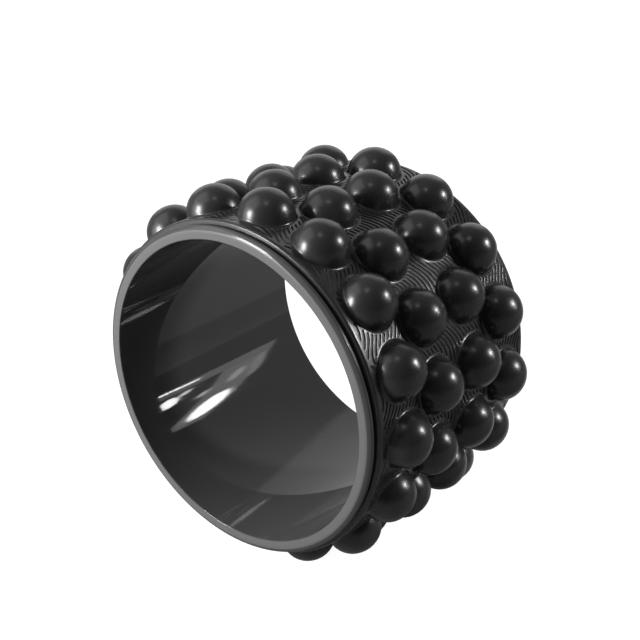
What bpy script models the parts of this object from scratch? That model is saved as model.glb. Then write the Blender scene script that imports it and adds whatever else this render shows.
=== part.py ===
"""A small back roller wheel: a rigid drum with end lips, and a domed sleeve bonded round it.

Units are metres and +Z is up. The wheel stands on its tread, with its axis along Y and its
centre at the origin. Angles round the wheel are counted from +Z towards +X.
"""

import math

import bmesh
import bpy
from mathutils import Matrix

# The wheel's overall sizes: across the end lips, and from one end face to the other.
LIP_DIAMETER = 0.165
WHEEL_WIDTH = 0.130

# The drum: a tube with a lip at each end.
LIP_HEIGHT = 0.0035
LIP_THICKNESS = 0.0029
LIP_CORNER_RADIUS = 0.0018
LIP_ROOT_RADIUS = 0.0005
TUBE_WALL = 0.0030
BORE_EDGE_RADIUS = 0.0006

# The bonding film and the clearances between neighbours.
FILM_THICKNESS = 0.0004
FILM_MARGIN = 0.0040
SEAT_GAP = 0.0003
LIP_CLEARANCE = 0.0004

# The sleeve's band, with a rounded border at each end.
SLEEVE_THICKNESS = 0.0047
SLEEVE_EDGE_RADIUS = 0.0026
SLEEVE_INNER_CHAMFER = 0.0008

# The domes. The border is the plain band outside the outermost domes. The spacing is the gap
# between the feet of two domes in neighbouring rings, which sit half a pitch apart.
DOMES_AROUND = 16
DOME_DIAMETER = 0.0272
DOME_HEIGHT = 0.0124
DOME_BORDER = 0.0067
DOME_SPACING = 0.0030
DOME_ROOT_DEPTH = 0.0012

# How finely round shapes are divided.
WHEEL_SEGMENTS = 80
CORNER_STEPS = 4
BORE_EDGE_STEPS = 2
LIP_ROOT_STEPS = 1
DOME_SEGMENTS = 12
DOME_RINGS = 4
SHARP_ANGLE = math.radians(40)

# Colours, and how rough each surface is. Nothing here is metal.
DRUM_GREY = (0.100, 0.100, 0.105)
DRUM_ROUGHNESS = 0.28
ADHESIVE_BUFF = (0.62, 0.58, 0.46)
ADHESIVE_ROUGHNESS = 0.55
SLEEVE_BLACK = (0.018, 0.018, 0.020)
SLEEVE_ROUGHNESS = 0.42

# Sizes that follow from the ones above, from the lips inwards and then outwards.
LIP_RADIUS = LIP_DIAMETER / 2
TUBE_RADIUS = LIP_RADIUS - LIP_HEIGHT
BORE_RADIUS = TUBE_RADIUS - TUBE_WALL
FILM_INNER_RADIUS = TUBE_RADIUS + SEAT_GAP
FILM_OUTER_RADIUS = FILM_INNER_RADIUS + FILM_THICKNESS
SLEEVE_BORE_RADIUS = FILM_OUTER_RADIUS + SEAT_GAP
SLEEVE_RADIUS = SLEEVE_BORE_RADIUS + SLEEVE_THICKNESS
HALF_WIDTH = WHEEL_WIDTH / 2
SLEEVE_HALF_WIDTH = HALF_WIDTH - LIP_THICKNESS - LIP_CLEARANCE
FILM_HALF_WIDTH = SLEEVE_HALF_WIDTH - FILM_MARGIN
DOME_RADIUS = DOME_DIAMETER / 2
DOME_PITCH = 2 * math.pi / DOMES_AROUND
# At rest the wheel stands on one outer and one inner row, so the rows lie evenly about the lowest line.
ROW_OFFSET = DOME_PITCH / 4


def arc(centre_radius, centre_y, radius, start, end, steps):
    """Points of an arc in the (radius, y) plane, with angles in degrees from the radial direction."""
    points = []
    for i in range(steps + 1):
        angle = math.radians(start + (end - start) * i / steps)
        points.append((centre_radius + radius * math.cos(angle), centre_y + radius * math.sin(angle)))
    return points


def with_mirror(front):
    """A closed outline from its half at -Y, which runs from the bore outwards."""
    return front + [(radius, -y) for radius, y in reversed(front)]


def principled(name, colour, roughness):
    material = bpy.data.materials.new(name)
    material.use_nodes = True
    shader = material.node_tree.nodes["Principled BSDF"]
    shader.inputs["Base Color"].default_value = (*colour, 1.0)
    shader.inputs["Roughness"].default_value = roughness
    shader.inputs["Metallic"].default_value = 0.0
    return material


def add_object(name, mesh_data, material):
    mesh = bpy.data.meshes.new(name)
    bmesh.ops.recalc_face_normals(mesh_data, faces=mesh_data.faces)
    mesh_data.to_mesh(mesh)
    mesh_data.free()
    mesh.shade_smooth()
    mesh.set_sharp_from_angle(angle=SHARP_ANGLE)
    mesh.materials.append(material)
    made = bpy.data.objects.new(name, mesh)
    bpy.context.scene.collection.objects.link(made)
    return made


def turned(name, outline, material):
    """One body turned round the wheel's axis from a closed (radius, y) outline."""
    mesh_data = bmesh.new()
    vertices = [mesh_data.verts.new((0, y, radius)) for radius, y in outline]
    edges = []
    for i, vertex in enumerate(vertices):
        edges.append(mesh_data.edges.new((vertex, vertices[(i + 1) % len(vertices)])))
    bmesh.ops.spin(
        mesh_data,
        geom=vertices + edges,
        cent=(0, 0, 0),
        axis=(0, 1, 0),
        angle=2 * math.pi,
        steps=WHEEL_SEGMENTS,
        use_merge=True,
    )
    return add_object(name, mesh_data, material)


def core_drum():
    """The rigid tube, with an outward lip at each end that keeps the sleeve in place."""
    face = -HALF_WIDTH
    lip_back = face + LIP_THICKNESS
    bore_edge = (BORE_RADIUS + BORE_EDGE_RADIUS, face + BORE_EDGE_RADIUS, BORE_EDGE_RADIUS)
    lip_corner = (LIP_RADIUS - LIP_CORNER_RADIUS, face + LIP_CORNER_RADIUS, LIP_CORNER_RADIUS)
    lip_root = (TUBE_RADIUS + LIP_ROOT_RADIUS, lip_back + LIP_ROOT_RADIUS, LIP_ROOT_RADIUS)
    front = arc(*bore_edge, 180, 270, BORE_EDGE_STEPS)
    front += arc(*lip_corner, 270, 360, CORNER_STEPS)
    front.append((LIP_RADIUS, lip_back))
    front += arc(*lip_root, 270, 180, LIP_ROOT_STEPS)
    return turned("core_drum", with_mirror(front), principled("drum_plastic", DRUM_GREY, DRUM_ROUGHNESS))


def bond_film():
    """The film of adhesive between the tube and the sleeve."""
    front = [(FILM_INNER_RADIUS, -FILM_HALF_WIDTH), (FILM_OUTER_RADIUS, -FILM_HALF_WIDTH)]
    adhesive = principled("bond_adhesive", ADHESIVE_BUFF, ADHESIVE_ROUGHNESS)
    return turned("bond_film", with_mirror(front), adhesive)


def dome_body(mesh_data, angle, y):
    """One solid dome, closed below the sleeve's surface, at an angle round the wheel and a place across it."""
    sagitta = SLEEVE_RADIUS - math.sqrt(SLEEVE_RADIUS**2 - DOME_RADIUS**2)
    profile = []
    for ring in range(1, DOME_RINGS + 1):
        slope = math.pi / 2 * ring / DOME_RINGS
        profile.append((DOME_RADIUS * math.sin(slope), DOME_HEIGHT * math.cos(slope)))
    profile.append((DOME_RADIUS, -sagitta - DOME_ROOT_DEPTH))
    own = bmesh.new()
    rings = []
    for radius, height in profile:
        ring = []
        for i in range(DOME_SEGMENTS):
            turn = 2 * math.pi * i / DOME_SEGMENTS
            ring.append(own.verts.new((radius * math.cos(turn), radius * math.sin(turn), height)))
        rings.append(ring)
    top = own.verts.new((0, 0, DOME_HEIGHT))
    for i in range(DOME_SEGMENTS):
        after = (i + 1) % DOME_SEGMENTS
        own.faces.new((top, rings[0][i], rings[0][after]))
        for upper, lower in zip(rings[:-1], rings[1:], strict=True):
            own.faces.new((upper[i], lower[i], lower[after], upper[after]))
    own.faces.new(list(reversed(rings[-1])))
    place = Matrix.Rotation(angle, 4, "Y") @ Matrix.Translation((0, y, SLEEVE_RADIUS))
    bmesh.ops.transform(own, matrix=place, verts=own.verts)
    copy = bpy.data.meshes.new("dome")
    own.to_mesh(copy)
    own.free()
    mesh_data.from_mesh(copy)
    bpy.data.meshes.remove(copy)


def ring_offsets():
    """How far the dome rings lie from the wheel's middle, outermost first.

    A ring has a twin on the other side, and the last one is alone in the middle if a pair won't fit.
    """
    reach = DOME_DIAMETER + DOME_SPACING
    half_pitch = SLEEVE_RADIUS * DOME_PITCH / 2
    across = math.sqrt(max(reach**2 - half_pitch**2, 0))
    step = max(across, DOME_RADIUS)
    offsets = []
    offset = SLEEVE_HALF_WIDTH - DOME_BORDER - DOME_RADIUS
    while offset >= reach / 2:
        offsets.append(offset)
        offset -= step
    if offset >= 0:
        offsets.append(0)
    return offsets


def dome_places():
    """The angle and the place across the wheel of every dome."""
    places = []
    for ring, offset in enumerate(ring_offsets()):
        turn = -ROW_OFFSET if ring % 2 else ROW_OFFSET
        for i in range(DOMES_AROUND):
            for y in sorted({-offset, offset}):
                places.append((i * DOME_PITCH + turn, y))
    return places


def massage_sleeve():
    """The moulded sleeve: a band between the lips with rounded borders, and its solid domes."""
    end = -SLEEVE_HALF_WIDTH
    border = (SLEEVE_RADIUS - SLEEVE_EDGE_RADIUS, end + SLEEVE_EDGE_RADIUS, SLEEVE_EDGE_RADIUS)
    front = [
        (SLEEVE_BORE_RADIUS, end + SLEEVE_INNER_CHAMFER),
        (SLEEVE_BORE_RADIUS + SLEEVE_INNER_CHAMFER, end),
    ]
    front += arc(*border, 270, 360, CORNER_STEPS)
    rubber = principled("sleeve_rubber", SLEEVE_BLACK, SLEEVE_ROUGHNESS)
    sleeve = turned("massage_sleeve", with_mirror(front), rubber)
    domes = bmesh.new()
    for angle, y in dome_places():
        dome_body(domes, angle, y)
    tools = add_object("dome_bodies", domes, rubber)
    tools.hide_render = True
    tools.display_type = "WIRE"
    join = sleeve.modifiers.new("domes", "BOOLEAN")
    join.operation = "UNION"
    join.solver = "EXACT"
    join.object = tools
    return sleeve


def main():
    for old in list(bpy.data.objects):
        bpy.data.objects.remove(old, do_unlink=True)
    wheel = bpy.data.objects.new("wheel", None)
    bpy.context.scene.collection.objects.link(wheel)
    for piece in (core_drum(), bond_film(), massage_sleeve()):
        piece.parent = wheel


main()
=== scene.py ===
"""The looks of a back roller wheel, and a plain studio round it.

The wheel is a glossy drum and a domed sleeve with engraved wavy grooves. The film between the two
keeps its own solid and gets a material. Units are metres. The wheel's axis is Y and its centre is
the origin. Angles round the wheel are counted from +Z towards +X, and places along the tread are
arc lengths in that direction.
"""

import math

import bmesh
import bpy
import numpy as np
from mathutils import Matrix, Quaternion, Vector
from mathutils.geometry import delaunay_2d_cdt


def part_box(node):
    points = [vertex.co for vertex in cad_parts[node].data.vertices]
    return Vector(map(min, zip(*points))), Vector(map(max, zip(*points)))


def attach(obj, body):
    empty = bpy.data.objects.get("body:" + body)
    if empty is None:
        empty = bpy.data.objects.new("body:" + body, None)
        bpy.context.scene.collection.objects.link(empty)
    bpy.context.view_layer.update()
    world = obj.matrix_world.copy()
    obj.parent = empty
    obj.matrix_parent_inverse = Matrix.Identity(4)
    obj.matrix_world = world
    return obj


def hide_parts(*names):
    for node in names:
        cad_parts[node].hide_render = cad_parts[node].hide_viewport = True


MM = 0.001

# Corners of two patches that lie this near are one corner.
MERGE_DISTANCE = 0.0005 * MM

# The drum's lips and the rounding of its edges. The lip's curve, from its end face to its outer side, is a
# soft crease, a slightly bowed bevel and a tight edge: radius, first and last tilt in degrees, steps.
LIP_HEIGHT = 3.5 * MM
LIP_THICKNESS = 2.9 * MM
LIP_CURVE = ((4.5 * MM, 0, 32, 10), (20.0 * MM, 32, 34, 2), (0.8 * MM, 34, 90, 8))
LIP_BACK_RADIUS = 0.25 * MM
LIP_ROOT_RADIUS = 0.5 * MM
BORE_EDGE_RADIUS = 0.6 * MM
BORE_EDGE_STEPS = 5
LIP_BACK_STEPS = 3
DRUM_SEGMENTS = 288
DRUM_SHARP_DEGREES = 40

# The sleeve's band. Its curve, from its end face to the tread, is a leaning, slightly bowed wall, a tight
# edge and a soft shoulder, in the same form as the lip's. Its end faces stand back from the CAD solid's.
SLEEVE_THICKNESS = 4.7 * MM
SLEEVE_SETBACK = 0.8 * MM
SLEEVE_CURVE = ((19.5 * MM, 3, 12, 2), (0.8 * MM, 12, 50, 5), (1.8 * MM, 50, 90, 4))
SLEEVE_INNER_CHAMFER = 0.8 * MM
SLEEVE_SHARP_DEGREES = 35

# The domes, in two outer and two inner rings that sit half a pitch apart. The border is the band outside
# the outermost domes. The spacing is the gap between neighbours of an outer and an inner ring.
DOMES_AROUND = 16
DOME_RADIUS = 13.6 * MM
DOME_HEIGHT = 12.4 * MM
DOME_BORDER = 6.7 * MM
DOME_SPACING = 3.0 * MM
DOME_FILLET = 1.0 * MM
DOME_SEGMENTS = 48
DOME_STEPS = 10
FILLET_STEPS = 4

# The grooves that are engraved between the domes, all with the same wave. The section runs from a groove's
# rim to its floor, as distance from its centre line and height over the band. Its outer part is a gentle
# slope, so that the ribs between the grooves are crowned. The shift moves all the grooves across the wheel.
GROOVE_SPACING = 2.83 * MM
GROOVE_SHIFT = 0.2 * MM
GROOVE_HALF_WIDTH = 0.85 * MM
GROOVE_DEPTH = 0.50 * MM
GROOVE_SECTION = (
    (GROOVE_HALF_WIDTH, 0),
    (0.60 * MM, -0.035 * MM),
    (0.53 * MM, -0.075 * MM),
    (0.28 * MM, -GROOVE_DEPTH),
)

# What the grooves keep clear: the least land beside a dome's foot, the plain border at the sleeve's end, and
# the least distance of a free end from the edge of a cell. A shorter run than the shortest is left out.
GROOVE_LAND = 0.03 * MM
GROOVE_BORDER = 3.5 * MM
GROOVE_END_ROOM = 1.2 * GROOVE_HALF_WIDTH
GROOVE_SHORTEST = 2.0 * MM

# The wave across the wheel: its height, the share of its second harmonic, and its lag as a share of a cell.
WAVE_HEIGHT = 3.7 * MM
WAVE_SECOND = -0.12
WAVE_LAG = 0.2

# How finely the tread is divided: the step along a groove, and the counts for a round end, for a cell's
# search for clear runs and for a cell's edge. The flat points are in millimetres, with so many decimals.
GROOVE_STEP = 1.6 * MM
TIP_STEPS = 4
FINE_SAMPLES = 400
EDGE_SAMPLES = 16
SHEET_DECIMALS = 6
TRIANGULATION_TOLERANCE = 1e-5

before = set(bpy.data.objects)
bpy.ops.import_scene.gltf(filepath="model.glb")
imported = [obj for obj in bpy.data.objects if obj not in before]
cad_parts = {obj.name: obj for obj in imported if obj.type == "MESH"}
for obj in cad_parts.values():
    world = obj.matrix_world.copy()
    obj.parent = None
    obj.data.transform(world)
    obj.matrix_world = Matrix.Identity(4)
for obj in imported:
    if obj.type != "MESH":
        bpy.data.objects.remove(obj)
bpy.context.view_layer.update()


def radii(node):
    """The least and the greatest distance of a CAD node's corners from the wheel's axis."""
    found = [math.hypot(v.co.x, v.co.z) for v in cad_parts[node].data.vertices]
    return min(found), max(found)


BORE_RADIUS, LIP_RADIUS = radii("core_drum")
SLEEVE_BORE_RADIUS = radii("massage_sleeve")[0]
BAND_RADIUS = SLEEVE_BORE_RADIUS + SLEEVE_THICKNESS
TUBE_RADIUS = LIP_RADIUS - LIP_HEIGHT
HALF_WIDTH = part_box("core_drum")[1].y
SLEEVE_HALF_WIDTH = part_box("massage_sleeve")[1].y
FLOOR_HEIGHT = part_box("massage_sleeve")[0].z

PITCH = 2 * math.pi / DOMES_AROUND
OUTER_ROW = PITCH / 4
CELL = BAND_RADIUS * PITCH
OUTER_RING = SLEEVE_HALF_WIDTH - DOME_BORDER - DOME_RADIUS
INNER_RING = OUTER_RING - math.sqrt((2 * DOME_RADIUS + DOME_SPACING) ** 2 - (CELL / 2) ** 2)
GROOVES_END = SLEEVE_HALF_WIDTH - GROOVE_BORDER
FOOT_RADIUS = DOME_RADIUS + DOME_FILLET


def arc(centre, radius, start, end, steps):
    """Points of an arc in the (radius, y) plane, in degrees from the radial direction."""
    points = []
    for i in range(steps + 1):
        angle = math.radians(start + (end - start) * i / steps)
        points.append((centre[0] + radius * math.cos(angle), centre[1] + radius * math.sin(angle)))
    return points


def on_wheel(radius, angle, y):
    """The point at a radius, an angle round the wheel and a place across it."""
    return (radius * math.sin(angle), y, radius * math.cos(angle))


def mesh_object(name, vertices, faces, sharp_degrees):
    """One closed smooth-shaded mesh from loose patches whose shared corners coincide."""
    mesh = bpy.data.meshes.new(name)
    mesh.from_pydata(vertices, [], faces)
    work = bmesh.new()
    work.from_mesh(mesh)
    bmesh.ops.remove_doubles(work, verts=work.verts, dist=MERGE_DISTANCE)
    bmesh.ops.recalc_face_normals(work, faces=work.faces)
    work.to_mesh(mesh)
    work.free()
    mesh.shade_smooth()
    mesh.set_sharp_from_angle(angle=math.radians(sharp_degrees))
    made = bpy.data.objects.new(name, mesh)
    bpy.context.scene.collection.objects.link(made)
    weighted = made.modifiers.new("flat faces stay flat", "WEIGHTED_NORMAL")
    weighted.keep_sharp = True
    return made


def ring_strips(profile, segments, first_angle, closed):
    """Vertices and quads of a (radius, y) profile turned round the wheel."""
    vertices = []
    for i in range(segments):
        angle = first_angle + 2 * math.pi * i / segments
        vertices += [on_wheel(radius, angle, y) for radius, y in profile]
    count = len(profile)
    faces = []
    for i in range(segments):
        here = i * count
        after = (i + 1) % segments * count
        for j in range(count if closed else count - 1):
            k = (j + 1) % count
            faces.append((here + j, here + k, after + k, after + j))
    return vertices, faces


def edge_outline(curve, outer_radius, face):
    """An outline that follows a curve from a flat end face to an outer side."""
    across = 0
    for radius, start, end, _ in curve:
        across += radius * (math.sin(math.radians(end)) - math.sin(math.radians(start)))
    points = [(outer_radius - across, face)]
    for radius, start, end, steps in curve:
        tilt = math.radians(start)
        centre = (points[-1][0] - radius * math.sin(tilt), points[-1][1] + radius * math.cos(tilt))
        points += arc(centre, radius, 270 + start, 270 + end, steps)[1:]
    return points


SLEEVE_FRONT = edge_outline(SLEEVE_CURVE, BAND_RADIUS, SLEEVE_SETBACK - SLEEVE_HALF_WIDTH)
TREAD_END = -SLEEVE_FRONT[-1][1]


def build_drum():
    """The rigid drum: a smooth bore, a bevelled lip at each end, and the tube between."""
    face = -HALF_WIDTH
    back = face + LIP_THICKNESS
    bore_edge = (BORE_RADIUS + BORE_EDGE_RADIUS, face + BORE_EDGE_RADIUS)
    lip_back = (LIP_RADIUS - LIP_BACK_RADIUS, back - LIP_BACK_RADIUS)
    lip_root = (TUBE_RADIUS + LIP_ROOT_RADIUS, back + LIP_ROOT_RADIUS)
    front = arc(bore_edge, BORE_EDGE_RADIUS, 180, 270, BORE_EDGE_STEPS)
    front += edge_outline(LIP_CURVE, LIP_RADIUS, face)
    front += arc(lip_back, LIP_BACK_RADIUS, 0, 90, LIP_BACK_STEPS)
    front += arc(lip_root, LIP_ROOT_RADIUS, 270, 180, LIP_BACK_STEPS)
    profile = front + [(radius, -y) for radius, y in reversed(front)]
    vertices, faces = ring_strips(profile, DRUM_SEGMENTS, 0, closed=True)
    return mesh_object("drum", vertices, faces, DRUM_SHARP_DEGREES)


def wave(s):
    """How far the grooves swing across the wheel at an arc length from an outer dome's row."""
    turn = 2 * math.pi * (s / CELL - WAVE_LAG)
    return GROOVE_SHIFT + WAVE_HEIGHT * (np.cos(turn) + WAVE_SECOND * np.cos(2 * turn))


def slope(s):
    """How steeply the grooves swing across the wheel at an arc length."""
    turn = 2 * math.pi * (s / CELL - WAVE_LAG)
    return -WAVE_HEIGHT * 2 * math.pi / CELL * (np.sin(turn) + 2 * WAVE_SECOND * np.sin(2 * turn))


def dome_feet():
    """Arc length and place across of every dome that reaches into one cell of the tread."""
    feet = [(s, y) for s in (0, CELL) for y in (-OUTER_RING, OUTER_RING)]
    return feet + [(CELL / 2, y) for y in (-INNER_RING, INNER_RING)]


def groove_runs(middle):
    """The stretches of one groove inside a cell, as (start, end), clear of the domes and the borders."""
    s = np.arange(FINE_SAMPLES) * CELL / FINE_SAMPLES
    y = middle + wave(s)
    clear = np.abs(y) < GROOVES_END - GROOVE_HALF_WIDTH
    reach = FOOT_RADIUS + GROOVE_LAND + GROOVE_HALF_WIDTH
    for foot_s, foot_y in dome_feet():
        clear &= np.hypot(s - foot_s, y - foot_y) > reach
    if clear.all():
        return [(0, CELL)]
    if not clear.any():
        return []
    first = int(np.argmin(clear))
    runs = []
    start = None
    for i in range(first, first + FINE_SAMPLES + 1):
        if clear[i % FINE_SAMPLES] and start is None:
            start = i
        elif not clear[i % FINE_SAMPLES] and start is not None:
            runs.append((start * CELL / FINE_SAMPLES, (i - 1) * CELL / FINE_SAMPLES))
            start = None
    kept = []
    for start, end in runs:
        if start >= CELL:
            start, end = start - CELL, end - CELL
        if end - start < GROOVE_SHORTEST:
            continue
        if start < CELL < end:
            kept.append((min(start, CELL - GROOVE_END_ROOM), CELL))
            kept.append((0, max(end - CELL, GROOVE_END_ROOM)))
        else:
            kept.append((max(start, GROOVE_END_ROOM), min(end, CELL - GROOVE_END_ROOM)))
    return kept


class Sheet:
    """The points of a flat sheet to be triangulated, with their heights and the edges it must keep."""

    def __init__(self):
        self.points = []
        self.heights = []
        self.edges = []

    def add(self, s, y, height=0.0):
        self.points.append((round(s / MM, SHEET_DECIMALS), round(y / MM, SHEET_DECIMALS)))
        self.heights.append(height)
        return len(self.points) - 1

    def line(self, indices):
        self.edges += list(zip(indices[:-1], indices[1:], strict=True))

    def loop(self, indices):
        self.line([*indices, indices[0]])


def beside_groove(middle, s, offset, ahead=0.0):
    """A point at a distance beside a groove's centre line and ahead along it.

    On the cell's own edges the point stays on the edge.
    """
    tilt = slope(s)
    long = math.hypot(1, tilt)
    if s in (0, CELL):
        return s, middle + wave(s) + offset * long
    return s + (ahead - offset * tilt) / long, middle + wave(s) + (offset + ahead * tilt) / long


def round_end(sheet, middle, s, direction, offset, height):
    """The points of a groove's round end between its two sides, at one offset of its section."""
    made = []
    for i in range(1, TIP_STEPS):
        turn = math.pi * i / TIP_STEPS
        ahead = direction * offset * math.sin(turn)
        made.append(sheet.add(*beside_groove(middle, s, -offset * math.cos(turn), ahead), height))
    return made


def add_groove(sheet, middle, start, end):
    """One groove: pairs of lines along it that follow its section and meet in round ends.

    Where it leaves the cell, a line across it takes the place of the round end.
    """
    stations = np.linspace(start, end, max(2, math.ceil((end - start) / GROOVE_STEP) + 1))
    # Each end's arc length, its index among the stations, the way it points, and whether it is free.
    ends = ((start, 0, -1, start > 0), (end, -1, 1, end < CELL))
    pairs = []
    for offset, height in GROOVE_SECTION:
        pair = []
        for side in (-1, 1):
            places = [beside_groove(middle, s, side * offset) for s in stations]
            pair.append([sheet.add(*place, height) for place in places])
            sheet.line(pair[-1])
        pairs.append(pair)
        for s, place, direction, free in ends:
            if free:
                tip = round_end(sheet, middle, s, direction, offset, height)
                sheet.line([pair[0][place], *tip, pair[1][place]])
    for _, place, _, free in ends:
        if not free:
            down = [pair[0][place] for pair in pairs]
            up = [pair[1][place] for pair in reversed(pairs)]
            sheet.line(down + up)


def foot_point(foot_s, foot_y, turn):
    """A point of a dome's foot. The foot is round in the plane that touches the band under the dome."""
    aside = FOOT_RADIUS * math.cos(turn)
    return foot_s + BAND_RADIUS * math.asin(aside / BAND_RADIUS), foot_y + FOOT_RADIUS * math.sin(turn)


def add_foot(sheet, foot_s, foot_y):
    """The outline of a dome's foot, or the half of it that lies inside the cell."""
    turns = [2 * math.pi * i / DOME_SEGMENTS for i in range(DOME_SEGMENTS)]
    points = [foot_point(foot_s, foot_y, turn) for turn in turns]
    if 0 < foot_s < CELL:
        sheet.loop([sheet.add(*point) for point in points])
        return
    quarter = DOME_SEGMENTS // 4
    first = -quarter if foot_s == 0 else quarter
    half = [points[(first + i) % DOME_SEGMENTS] for i in range(2 * quarter + 1)]
    half[0] = (foot_s, half[0][1])
    half[-1] = (foot_s, half[-1][1])
    sheet.line([sheet.add(*point) for point in half])


def under_dome(s, y):
    """Whether a point of the sheet lies inside the outline of a dome's foot."""
    step = 2 * math.pi / DOME_SEGMENTS
    for foot_s, foot_y in dome_feet():
        aside = BAND_RADIUS * math.sin((s - foot_s) / BAND_RADIUS)
        away = math.hypot(aside, y - foot_y)
        turn = math.atan2(y - foot_y, aside) % step - step / 2
        if away * math.cos(turn) < FOOT_RADIUS * math.cos(step / 2):
            return True
    return False


def tread_cell():
    """One cell of the tread between two outer domes' rows: flat points, heights and triangles."""
    sheet = Sheet()
    for y in (-TREAD_END, TREAD_END):
        sheet.line([sheet.add(CELL * i / EDGE_SAMPLES, y) for i in range(EDGE_SAMPLES + 1)])
    for foot in dome_feet():
        add_foot(sheet, *foot)
    most = math.ceil((SLEEVE_HALF_WIDTH + WAVE_HEIGHT) / GROOVE_SPACING)
    for line in range(-most, most + 1):
        for start, end in groove_runs(line * GROOVE_SPACING):
            add_groove(sheet, line * GROOVE_SPACING, start, end)
    points, _, faces, sources, _, _ = delaunay_2d_cdt(
        [Vector(p) for p in sheet.points], sheet.edges, [], 0, TRIANGULATION_TOLERANCE, True
    )
    heights = [sheet.heights[found[0]] for found in sources]
    flat = [(p.x * MM, p.y * MM) for p in points]
    kept = []
    for face in faces:
        s = sum(flat[i][0] for i in face) / len(face)
        y = sum(flat[i][1] for i in face) / len(face)
        if not under_dome(s, y):
            kept.append(tuple(face))
    return flat, heights, kept


def dome_profile():
    """(distance from the dome's middle, height) from the foot of the fillet to near the top."""
    rise = math.asin(DOME_FILLET / DOME_HEIGHT)
    centre = DOME_RADIUS * math.cos(rise) + DOME_FILLET
    profile = [(FOOT_RADIUS, 0.0)]
    for i in range(1, FILLET_STEPS + 1):
        turn = math.pi / 2 * i / FILLET_STEPS
        profile.append((centre - DOME_FILLET * math.sin(turn), DOME_FILLET * (1 - math.cos(turn))))
    for i in range(1, DOME_STEPS):
        turn = rise + (math.pi / 2 - rise) * i / DOME_STEPS
        profile.append((DOME_RADIUS * math.cos(turn), DOME_HEIGHT * math.sin(turn)))
    return profile


def dome_patch(angle, y):
    """Vertices and faces of one dome with its fillet, whose foot follows the round band."""
    out = Vector(on_wheel(1, angle, 0))
    along = Vector(on_wheel(1, angle + math.pi / 2, 0))
    middle = out * BAND_RADIUS + Vector((0, y, 0))
    vertices = []
    for away, height in dome_profile():
        for i in range(DOME_SEGMENTS):
            turn = 2 * math.pi * i / DOME_SEGMENTS
            aside = away * math.cos(turn)
            drop = BAND_RADIUS - math.sqrt(BAND_RADIUS**2 - aside**2)
            rise = height - drop * (1 - height / DOME_HEIGHT)
            vertices.append(middle + along * aside + Vector((0, away * math.sin(turn), 0)) + out * rise)
    top = len(vertices)
    vertices.append(middle + out * DOME_HEIGHT)
    faces = []
    rings = top // DOME_SEGMENTS
    for ring in range(rings):
        for i in range(DOME_SEGMENTS):
            here = ring * DOME_SEGMENTS + i
            after = ring * DOME_SEGMENTS + (i + 1) % DOME_SEGMENTS
            if ring == rings - 1:
                faces.append((here, after, top))
            else:
                faces.append((here, after, after + DOME_SEGMENTS, here + DOME_SEGMENTS))
    return vertices, faces


def sleeve_inside():
    """The sleeve's two shoulders, end walls and bore, from one edge of the tread to the other."""
    front = [(SLEEVE_BORE_RADIUS, SLEEVE_FRONT[0][1] + SLEEVE_INNER_CHAMFER), *SLEEVE_FRONT]
    profile = list(reversed(front)) + [(radius, -y) for radius, y in front]
    return ring_strips(profile, DOMES_AROUND * EDGE_SAMPLES, OUTER_ROW, closed=False)


def build_sleeve():
    """The moulded sleeve as one closed surface: grooved tread, domes with fillets, end walls and bore."""
    vertices, faces = sleeve_inside()

    def take(patch):
        base = len(vertices)
        vertices.extend(patch[0])
        faces.extend(tuple(base + i for i in face) for face in patch[1])

    flat, heights, triangles = tread_cell()
    for cell in range(DOMES_AROUND):
        first = OUTER_ROW + cell * PITCH
        corners = []
        for (s, y), height in zip(flat, heights, strict=True):
            corners.append(on_wheel(BAND_RADIUS + height, first + s / BAND_RADIUS, y))
        take((corners, triangles))
        for y in (-OUTER_RING, OUTER_RING):
            take(dome_patch(first, y))
        for y in (-INNER_RING, INNER_RING):
            take(dome_patch(first + PITCH / 2, y))
    return mesh_object("sleeve", vertices, faces, SLEEVE_SHARP_DEGREES)


# Colours, linear. White has an alpha.
DRUM_GREY = (0.064, 0.064, 0.066)
# The end faces' grey is painted light: lighter than the drum's for the light that falls on them, while the
# bore lies in shade.
PAINTED_LIT_RIM_GREY = (0.124, 0.124, 0.126)
SLEEVE_BLACK = (0.024, 0.024, 0.025)
ADHESIVE_BUFF = (0.62, 0.58, 0.46)
FLOOR_PALE = (0.25, 0.25, 0.25)
WHITE = (1, 1, 1, 1)

# Roughness. A pair is the range that a noise spreads over while its own value crosses its middle part.
DRUM_ROUGHNESS = (0.03, 0.045)
LIP_ROUGHNESS = 0.12
RIM_ROUGHNESS = 0.38
BAND_ROUGHNESS = (0.21, 0.25)
DOME_ROUGHNESS = (0.25, 0.29)
GROOVE_EXTRA_ROUGHNESS = 0.2
ADHESIVE_ROUGHNESS = (0.45, 0.65)
NOISE_MIDDLE = (0.3, 0.7)

# Where one finish gives way to another, as distances from the wheel's middle plane or from its axis.
RIM_STARTS = (HALF_WIDTH - 0.30 * MM, HALF_WIDTH - 0.10 * MM)
RIM_INNER_EDGE = (BORE_RADIUS + 0.36 * MM, BORE_RADIUS + 0.50 * MM)
LIP_STARTS = (TUBE_RADIUS - 1.0 * MM, TUBE_RADIUS)
GROOVES_CEASE = (GROOVES_END, GROOVES_END + 0.3 * MM)
GROOVE_SIDES = (BAND_RADIUS - GROOVE_DEPTH, BAND_RADIUS - 0.1 * MM)
DOME_STARTS = (BAND_RADIUS + 0.2 * MM, BAND_RADIUS + 1.0 * MM)


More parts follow.
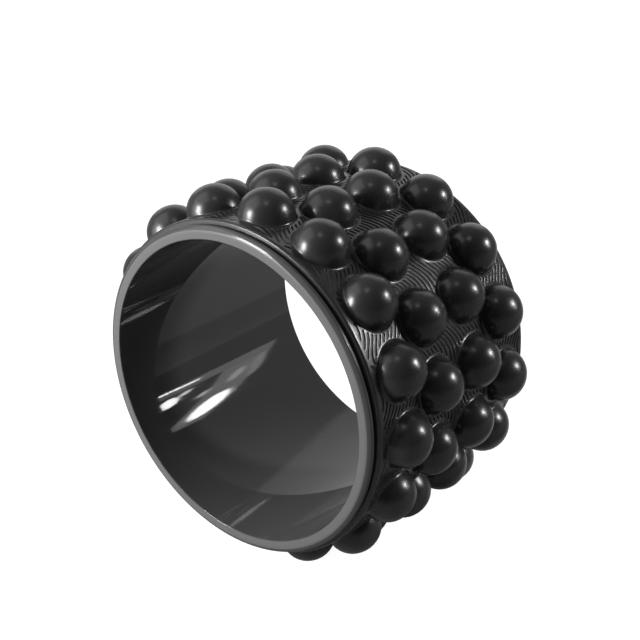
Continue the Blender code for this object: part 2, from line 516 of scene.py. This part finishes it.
class Nodes:
    """A small helper that adds shader nodes to a tree and links them."""

    def __init__(self, tree):
        self.tree = tree
        tree.nodes.clear()

    def add(self, kind, inputs=None, **settings):
        """A node with its settings made, and each input set to a value or linked to an output."""
        node = self.tree.nodes.new(kind)
        for name, value in settings.items():
            setattr(node, name, value)
        for name, value in (inputs or {}).items():
            socket = node.inputs[name]
            if isinstance(value, bpy.types.NodeSocket):
                self.tree.links.new(value, socket)
            else:
                socket.default_value = value
        return node

    def math(self, operation, first, second=0.0):
        return self.add("ShaderNodeMath", {0: first, 1: second}, operation=operation).outputs[0]

    def vector_math(self, operation, *vectors):
        return self.add("ShaderNodeVectorMath", dict(enumerate(vectors)), operation=operation).outputs

    def span(self, value, low, high, to_low=0, to_high=1, interpolation="LINEAR"):
        """A value that runs from one end of a range to the other as another value crosses its own range."""
        inputs = {"Value": value, "From Min": low, "From Max": high, "To Min": to_low, "To Max": to_high}
        node = self.add("ShaderNodeMapRange", inputs, interpolation_type=interpolation)
        return node.outputs["Result"]

    def fade(self, value, low, high, to_low=0, to_high=1):
        """The same with soft ends."""
        return self.span(value, low, high, to_low, to_high, "SMOOTHSTEP")

    def place(self):
        """The point that is shaded, in the object's own coordinates."""
        return self.add("ShaderNodeTexCoord").outputs["Object"]

    def component(self, vector, axis):
        """One coordinate of a vector, by the name of its axis."""
        return self.add("ShaderNodeSeparateXYZ", {"Vector": vector}).outputs[axis]

    def length(self, vector):
        return self.vector_math("LENGTH", vector)["Value"]

    def likeness(self, vector, heading):
        """The cosine of the angle between a vector of length 1 and a fixed heading."""
        return self.vector_math("DOT_PRODUCT", vector, heading)["Value"]

    def axle_distance(self, place):
        return self.length(self.vector_math("MULTIPLY", place, (1, 0, 1))["Vector"])

    def off_middle(self, place):
        """How far a place is from the wheel's middle plane."""
        return self.math("ABSOLUTE", self.component(place, "Y"))

    def noise(self, vector, scale, detail=2.0, roughness=0.5):
        """A noise between 0 and 1, with so many waves a metre."""
        inputs = {"Vector": vector, "Scale": scale, "Detail": detail, "Roughness": roughness}
        return self.add("ShaderNodeTexNoise", inputs).outputs["Fac"]

    def bump(self, height, strength, depth):
        inputs = {"Strength": strength, "Distance": depth, "Height": height}
        return self.add("ShaderNodeBump", inputs).outputs["Normal"]

    def blend(self, factor, first, second, kind="FLOAT"):
        """A value or a colour between two others as the factor goes from 0 to 1."""
        node = self.tree.nodes.new("ShaderNodeMix")
        node.data_type = kind
        fitting = [socket for socket in node.inputs if socket.enabled]
        for socket, value in zip(fitting, (factor, first, second), strict=True):
            if isinstance(value, bpy.types.NodeSocket):
                self.tree.links.new(value, socket)
            else:
                socket.default_value = value
        return next(socket for socket in node.outputs if socket.enabled)

    def shades(self, factor, colour, darkest, lightest):
        """A colour that runs between two shares of itself as the factor goes from 0 to 1."""
        dark, light = ((*(channel * share for channel in colour), 1) for share in (darkest, lightest))
        return self.blend(factor, dark, light, "RGBA")

    def surface(self, inputs):
        """The shader that ends a material's tree."""
        shader = self.add("ShaderNodeBsdfPrincipled", inputs)
        self.add("ShaderNodeOutputMaterial", {"Surface": shader.outputs[0]})


def new_material(name):
    material = bpy.data.materials.new(name)
    material.use_nodes = True
    return material, Nodes(material.node_tree)


def drum_plastic():
    """Dark grey moulded plastic, glossy with faint flow marks.

    The end faces are matte, with painted light: a lighter grey. The lips' outside is a little less glossy.
    """
    material, nodes = new_material("drum_plastic")
    place = nodes.place()
    radius = nodes.axle_distance(place)
    at_end = nodes.fade(nodes.off_middle(place), *RIM_STARTS)
    off_edge = nodes.fade(radius, *RIM_INNER_EDGE)
    end_faces = nodes.math("MULTIPLY", at_end, off_edge)
    outside = nodes.span(radius, *LIP_STARTS)
    flow = nodes.noise(place, scale=14, detail=3)
    fine = nodes.noise(place, scale=900)
    grain = nodes.noise(place, scale=2600)
    moulded = nodes.shades(flow, DRUM_GREY, darkest=0.92, lightest=1.08)
    # Painted light: the end faces get a lighter grey for the light that falls on them.
    painted_lit_face = nodes.shades(grain, PAINTED_LIT_RIM_GREY, darkest=0.8, lightest=1.2)
    gloss = nodes.span(flow, *NOISE_MIDDLE, *DRUM_ROUGHNESS)
    nodes.surface(
        {
            "Base Color": nodes.blend(end_faces, moulded, painted_lit_face, "RGBA"),
            "Roughness": nodes.blend(end_faces, nodes.blend(outside, gloss, LIP_ROUGHNESS), RIM_ROUGHNESS),
            "Specular IOR Level": 0.25,
            "Normal": nodes.bump(nodes.blend(end_faces, fine, grain), strength=0.03, depth=0.05 * MM),
        }
    )
    return material


def sleeve_rubber():
    """Near-black elastomer with a satin skin, finely grained, and duller in the engraved grooves."""
    material, nodes = new_material("sleeve_rubber")
    place = nodes.place()
    radius = nodes.axle_distance(place)
    below = nodes.span(radius, *GROOVE_SIDES, 1, 0)
    grooved = nodes.span(nodes.off_middle(place), *GROOVES_CEASE, 1, 0)
    engraved = nodes.math("MULTIPLY", below, grooved)
    on_dome = nodes.span(radius, *DOME_STARTS)
    mottle = nodes.noise(place, scale=60, detail=3)
    grain = nodes.noise(place, scale=2200)
    on_band = nodes.span(mottle, *NOISE_MIDDLE, *BAND_ROUGHNESS)
    skin = nodes.blend(on_dome, on_band, nodes.span(mottle, *NOISE_MIDDLE, *DOME_ROUGHNESS))
    nodes.surface(
        {
            "Base Color": nodes.shades(mottle, SLEEVE_BLACK, darkest=0.85, lightest=1.15),
            "Roughness": nodes.math("ADD", skin, nodes.math("MULTIPLY", engraved, GROOVE_EXTRA_ROUGHNESS)),
            "Specular IOR Level": 0.5,
            "Normal": nodes.bump(grain, strength=0.12, depth=0.03 * MM),
        }
    )
    return material


def bond_adhesive():
    """A dried buff adhesive, uneven as it was spread."""
    material, nodes = new_material("bond_adhesive")
    spread = nodes.noise(nodes.place(), scale=120, detail=4, roughness=0.6)
    nodes.surface(
        {
            "Base Color": nodes.shades(spread, ADHESIVE_BUFF, darkest=0.85, lightest=1.1),
            "Roughness": nodes.span(spread, *NOISE_MIDDLE, *ADHESIVE_ROUGHNESS),
            "Normal": nodes.bump(spread, strength=0.3, depth=0.1 * MM),
        }
    )
    return material


# The studio. Azimuth 0 is towards -Y and 90 is towards +X. Elevation is above the horizon. The camera's
# lens and sensor are in millimetres.
CAMERA_PLACE = (0.36029, -0.43102, 0.24984)
CAMERA_AIM = (-0.00169, 0.00578, 0.01326)
CAMERA_ROLL = math.radians(-2.275)
CAMERA_LENS = 67.636
SENSOR_WIDTH = 36
CLIP_START = 0.01

# The world that the wheel mirrors. The room dims towards its darkest side. The backdrop lies round its
# middle heading and below a slanted top edge, whose normal is given. Each fade is between two cosines.
ROOM_DARKEST = (80, -5)
ROOM_FADE = (-0.3, 0.6)
ROOM_LEVELS = (0.25, 0.0375)
BACKDROP_MIDDLE = (-138, 30)
BACKDROP_SIDE_FADE = (0.78, 0.86)
BACKDROP_TOP = (-0.162, 0.716, -0.679)
BACKDROP_TOP_FADE = (-0.02, 0.03)
BACKDROP_LEVEL = 0.95

# The floor. The wheel mirrors a patch of it that glows as painted light; its near edge lies along X, its
# right edge along Y.
# To the camera the floor is white, but a little less so near the wheel, by distance from the spot under it.
FLOOR_SIZE = 40
FLOOR_DROP = 0.05 * MM
FLOOR_GLOW_LEVEL = 0.3
FLOOR_NEAR_EDGE = (0.0, 0.1)
FLOOR_RIGHT_EDGE = (0.11, 0.13)
FLOOR_WHITE_DISTANCES = (0.15, 0.9)
FLOOR_WHITE_LEVELS = (0.94, 1.0)

# The panel behind the wheel on the right. Its lights are tubes, spots and the dimmer sheets round them: place
# to the right and above the panel's middle, width, height, radiance, turn in degrees and shape.
PANEL_AZIMUTH = 132
PANEL_ELEVATION = 20
PANEL_DISTANCE = 1.6
PANEL_LIGHTS = (
    (0.082, 0.150, 0.076, 0.205, 50, -2, "ELLIPSE"),
    (-0.120, 0.100, 0.085, 0.240, 190, 0, "ELLIPSE"),
    (-0.080, -0.145, 0.040, 0.130, 42, -10, "ELLIPSE"),
    (-0.052, -0.190, 0.026, 0.050, 20, 0, "ELLIPSE"),
    (-0.088, -0.312, 0.110, 0.020, 42, 15, "RECTANGLE"),
    (0.020, -0.050, 0.042, 0.060, 12, 0, "ELLIPSE"),
    (0.075, -0.110, 0.030, 0.120, 8, 0, "ELLIPSE"),
    (0.120, -0.120, 0.028, 0.240, 5, -5, "ELLIPSE"),
    (0.075, 0.030, 0.105, 0.540, 3.2, 0, "RECTANGLE"),
    (0.000, -0.290, 0.260, 0.100, 2.6, 0, "RECTANGLE"),
)

# The softboxes on their own stands: name, azimuth, elevation, distance, width, height and radiance.
LONE_LIGHTS = (
    ("left_box", -26, 19, 0.7, 0.16, 0.27, 40),
    ("left_wall", -38, 13, 0.7, 0.45, 0.55, 2.0),
    ("left_sheet", -45, 50, 0.8, 0.70, 0.60, 1.1),
    ("top_box", 47, 71, 1.6, 0.25, 0.25, 4),
)


def direction(azimuth, elevation):
    """The heading of length 1 at an azimuth and an elevation in degrees."""
    turn = math.radians(azimuth)
    rise = math.radians(elevation)
    level = math.cos(rise)
    return Vector((math.sin(turn) * level, -math.cos(turn) * level, math.sin(rise)))


def softbox(name, place, facing, width, height, radiance, turn=0.0, shape="RECTANGLE"):
    """A lamp of an even radiance that looks along a line towards the wheel. A turn tilts it on that line."""
    lamp = bpy.data.lights.new(name, "AREA")
    lamp.shape = shape
    lamp.size = width
    lamp.size_y = height
    share = math.pi / 4 if shape == "ELLIPSE" else 1
    lamp.energy = radiance * math.pi * width * height * share
    made = bpy.data.objects.new(name, lamp)
    made.location = place
    made.rotation_mode = "QUATERNION"
    made.rotation_quaternion = facing.to_track_quat("-Z", "Y") @ Quaternion((0, 0, 1), math.radians(turn))
    bpy.context.scene.collection.objects.link(made)


def build_panel():
    """A tall panel behind the wheel on the right, with brighter tubes and spots in it."""
    away = direction(PANEL_AZIMUTH, PANEL_ELEVATION)
    across = direction(PANEL_AZIMUTH + 90, 0)
    up = away.cross(across)
    for number, (right, above, width, height, radiance, turn, shape) in enumerate(PANEL_LIGHTS):
        place = away * PANEL_DISTANCE + across * right + up * above
        softbox(f"right_{number}", place, -away, width, height, radiance, turn, shape)


def build_lone_lights():
    """The softboxes on their own stands, aimed at the wheel's centre."""
    for name, azimuth, elevation, distance, width, height, radiance in LONE_LIGHTS:
        away = direction(azimuth, elevation)
        softbox(name, away * distance, -away, width, height, radiance)


def build_camera():
    lens = bpy.data.cameras.new("camera")
    lens.lens = CAMERA_LENS
    lens.sensor_width = SENSOR_WIDTH
    lens.clip_start = CLIP_START
    camera = bpy.data.objects.new("camera", lens)
    place = Vector(CAMERA_PLACE)
    facing = (Vector(CAMERA_AIM) - place).to_track_quat("-Z", "Y").to_matrix().to_4x4()
    camera.matrix_world = Matrix.Translation(place) @ facing @ Matrix.Rotation(CAMERA_ROLL, 4, "Z")
    bpy.context.scene.collection.objects.link(camera)
    bpy.context.scene.camera = camera


def build_world():
    """White to the camera. The wheel mirrors a pale backdrop at its back left, and a dim room elsewhere."""
    world = bpy.data.worlds.new("studio")
    world.use_nodes = True
    bpy.context.scene.world = world
    nodes = Nodes(world.node_tree)
    seen = nodes.add("ShaderNodeLightPath").outputs["Is Camera Ray"]
    heading = nodes.add("ShaderNodeTexCoord").outputs["Generated"]
    room = nodes.fade(nodes.likeness(heading, direction(*ROOM_DARKEST)), *ROOM_FADE, *ROOM_LEVELS)
    under_top = nodes.fade(nodes.likeness(heading, BACKDROP_TOP), *BACKDROP_TOP_FADE)
    inside = nodes.fade(nodes.likeness(heading, direction(*BACKDROP_MIDDLE)), *BACKDROP_SIDE_FADE)
    backdrop = nodes.math("MULTIPLY", nodes.math("MULTIPLY", under_top, inside), BACKDROP_LEVEL)
    strength = nodes.math("MAXIMUM", seen, nodes.math("MAXIMUM", room, backdrop))
    background = nodes.add("ShaderNodeBackground", {"Color": WHITE, "Strength": strength})
    nodes.add("ShaderNodeOutputWorld", {"Surface": background.outputs[0]})


def floor_white():
    """A pale matte paint that shows white to the camera and keeps the wheel's shadow."""
    material, nodes = new_material("floor_white")
    place = nodes.place()
    seen = nodes.add("ShaderNodeLightPath").outputs["Is Camera Ray"]
    behind = nodes.fade(nodes.component(place, "Y"), *FLOOR_NEAR_EDGE)
    left = nodes.fade(nodes.component(place, "X"), *FLOOR_RIGHT_EDGE, FLOOR_GLOW_LEVEL, 0)
    # Painted light: to all but camera rays, a patch behind the wheel glows in place of a lit part of the
    # floor.
    glowing_patch = nodes.math("MULTIPLY", behind, left)
    white = nodes.fade(nodes.length(place), *FLOOR_WHITE_DISTANCES, *FLOOR_WHITE_LEVELS)
    paint = nodes.noise(place, scale=3)
    nodes.surface(
        {
            "Base Color": nodes.shades(paint, FLOOR_PALE, darkest=0.99, lightest=1.01),
            "Roughness": 0.8,
            "Specular IOR Level": 0.1,
            "Emission Color": WHITE,
            "Emission Strength": nodes.blend(seen, glowing_patch, white),
        }
    )
    return material


def build_floor():
    """A wide floor just under the sleeve's lowest domes."""
    bpy.ops.mesh.primitive_grid_add(size=FLOOR_SIZE, location=(0, 0, FLOOR_HEIGHT - FLOOR_DROP))
    floor = bpy.context.object
    floor.name = "floor"
    floor.data.materials.append(floor_white())


def build_studio():
    build_camera()
    build_world()
    build_floor()
    build_panel()
    build_lone_lights()
    bpy.context.scene.view_settings.view_transform = "Standard"


def main():
    drum = build_drum()
    drum.data.materials.append(drum_plastic())
    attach(drum, "root")
    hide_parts("core_drum")

    sleeve = build_sleeve()
    sleeve.data.materials.append(sleeve_rubber())
    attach(sleeve, "root")
    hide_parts("massage_sleeve")

    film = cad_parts["bond_film"]
    film.data.materials.clear()
    film.data.materials.append(bond_adhesive())

    build_studio()


main()
